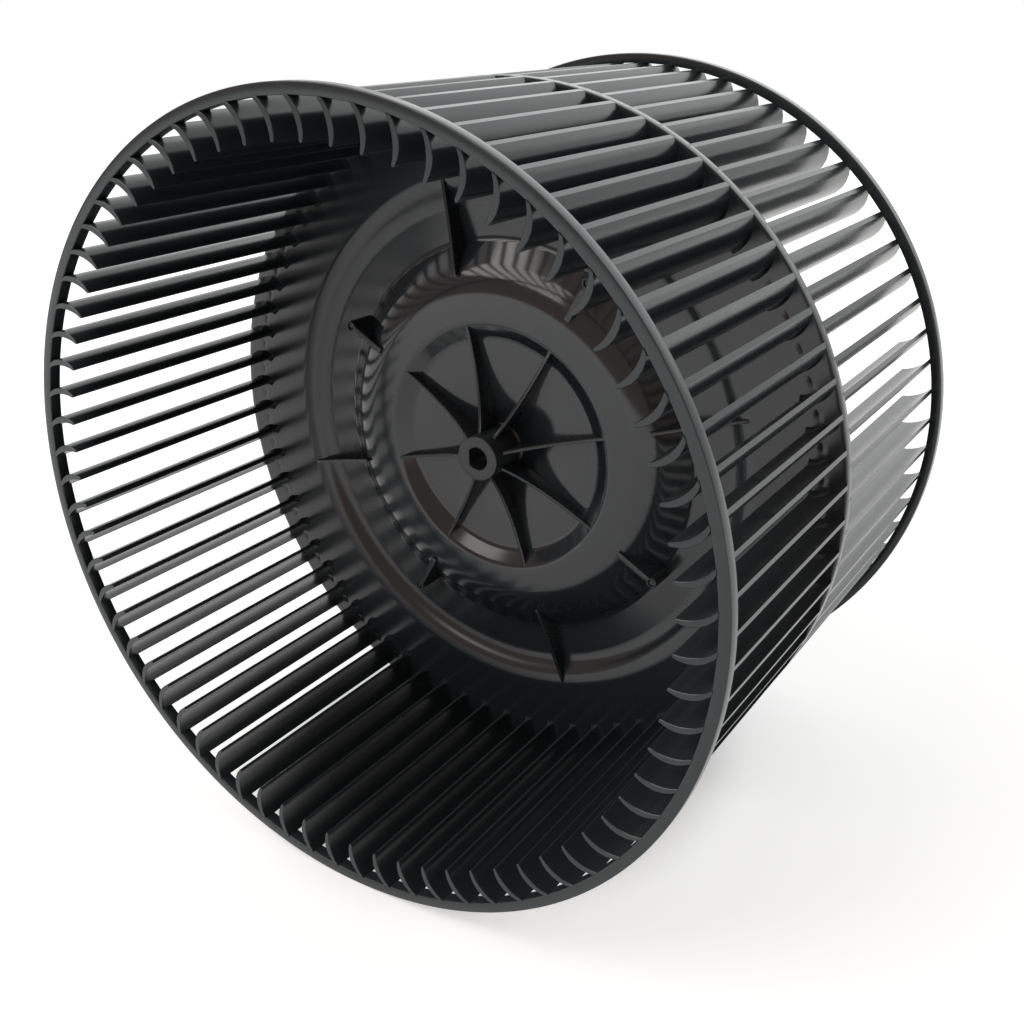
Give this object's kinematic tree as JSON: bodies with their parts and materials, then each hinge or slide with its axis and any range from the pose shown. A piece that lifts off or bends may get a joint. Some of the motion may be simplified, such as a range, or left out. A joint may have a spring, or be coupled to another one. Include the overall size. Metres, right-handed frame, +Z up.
{
  "type": "blower wheel",
  "caption": "Double-inlet centrifugal blower wheel with forward-curved blades in two cages on a dished centre plate, with a ribbed hub for a motor shaft.",
  "frame": {"origin": "centre of the wheel: on its axis, halfway along it, in the middle of the centre plate's rim", "axes": "Y along the wheel's axis with -Y out of the front inlet, where the hub's long end is; Z up and X to the right as the wheel lies on its side"},
  "size_m": [0.254, 0.1936, 0.254],
  "materials": {
    "cage_plastic": "black moulded plastic, satin",
    "plate_plastic": "black moulded plastic, polished",
    "hub_plastic": "black moulded plastic, semi-gloss",
    "rib_plastic": "black moulded plastic, semi-gloss"
  },
  "bodies": {
    "root": {"front_blade_cage": "cage_plastic", "rear_blade_cage": "cage_plastic", "centre_plate": "plate_plastic", "hub_boss": "hub_plastic", "hub_rib_1": "rib_plastic", "hub_rib_2": "rib_plastic", "hub_rib_3": "rib_plastic", "hub_rib_4": "rib_plastic", "hub_rib_5": "rib_plastic", "hub_rib_6": "rib_plastic", "hub_rib_7": "rib_plastic", "hub_rib_8": "rib_plastic", "long_gusset_1": "rib_plastic", "long_gusset_2": "rib_plastic", "long_gusset_3": "rib_plastic", "long_gusset_4": "rib_plastic", "short_gusset_1": "rib_plastic", "short_gusset_2": "rib_plastic", "short_gusset_3": "rib_plastic", "short_gusset_4": "rib_plastic", "locating_post_1": "hub_plastic", "locating_post_2": "hub_plastic", "locating_post_3": "hub_plastic", "locating_post_4": "hub_plastic"}
  },
  "joints": []
}
